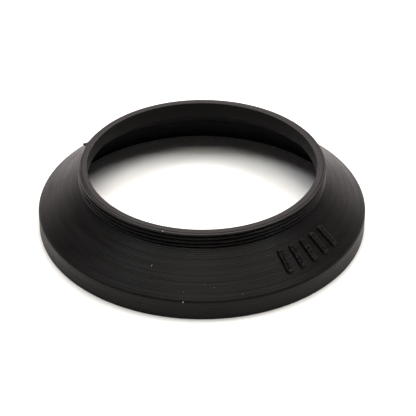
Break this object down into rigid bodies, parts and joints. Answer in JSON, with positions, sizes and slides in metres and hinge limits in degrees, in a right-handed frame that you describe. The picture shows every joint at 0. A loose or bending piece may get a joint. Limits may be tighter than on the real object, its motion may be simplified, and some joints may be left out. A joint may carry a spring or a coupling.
{
  "type": "lens hood",
  "caption": "Shallow screw-in lens hood: a black printed cone with a short straight rim and a fine male filter thread on its narrow end.",
  "frame": {"origin": "centre of the front rim's flat face, on which the hood stands", "axes": "+Z along the optical axis from the wide rim to the threaded end; the index ribs are centred between -Y and +X"},
  "size_m": [0.0408, 0.0408, 0.0082],
  "materials": {
    "collar_plastic": "black filament print, satin, fine thread pressed from layers",
    "cone_plastic": "black filament print, satin, layer lines round the cone",
    "rim_plastic": "black filament print, satin, layer lines round the rim",
    "rib_plastic": "black filament print, slightly blobby raised bars"
  },
  "bodies": {
    "root": {"threaded_collar": "collar_plastic", "shade_cone": "cone_plastic", "front_rim": "rim_plastic", "index_rib_1": "rib_plastic", "index_rib_2": "rib_plastic", "index_rib_3": "rib_plastic", "index_rib_4": "rib_plastic", "index_rib_5": "rib_plastic"}
  },
  "joints": []
}
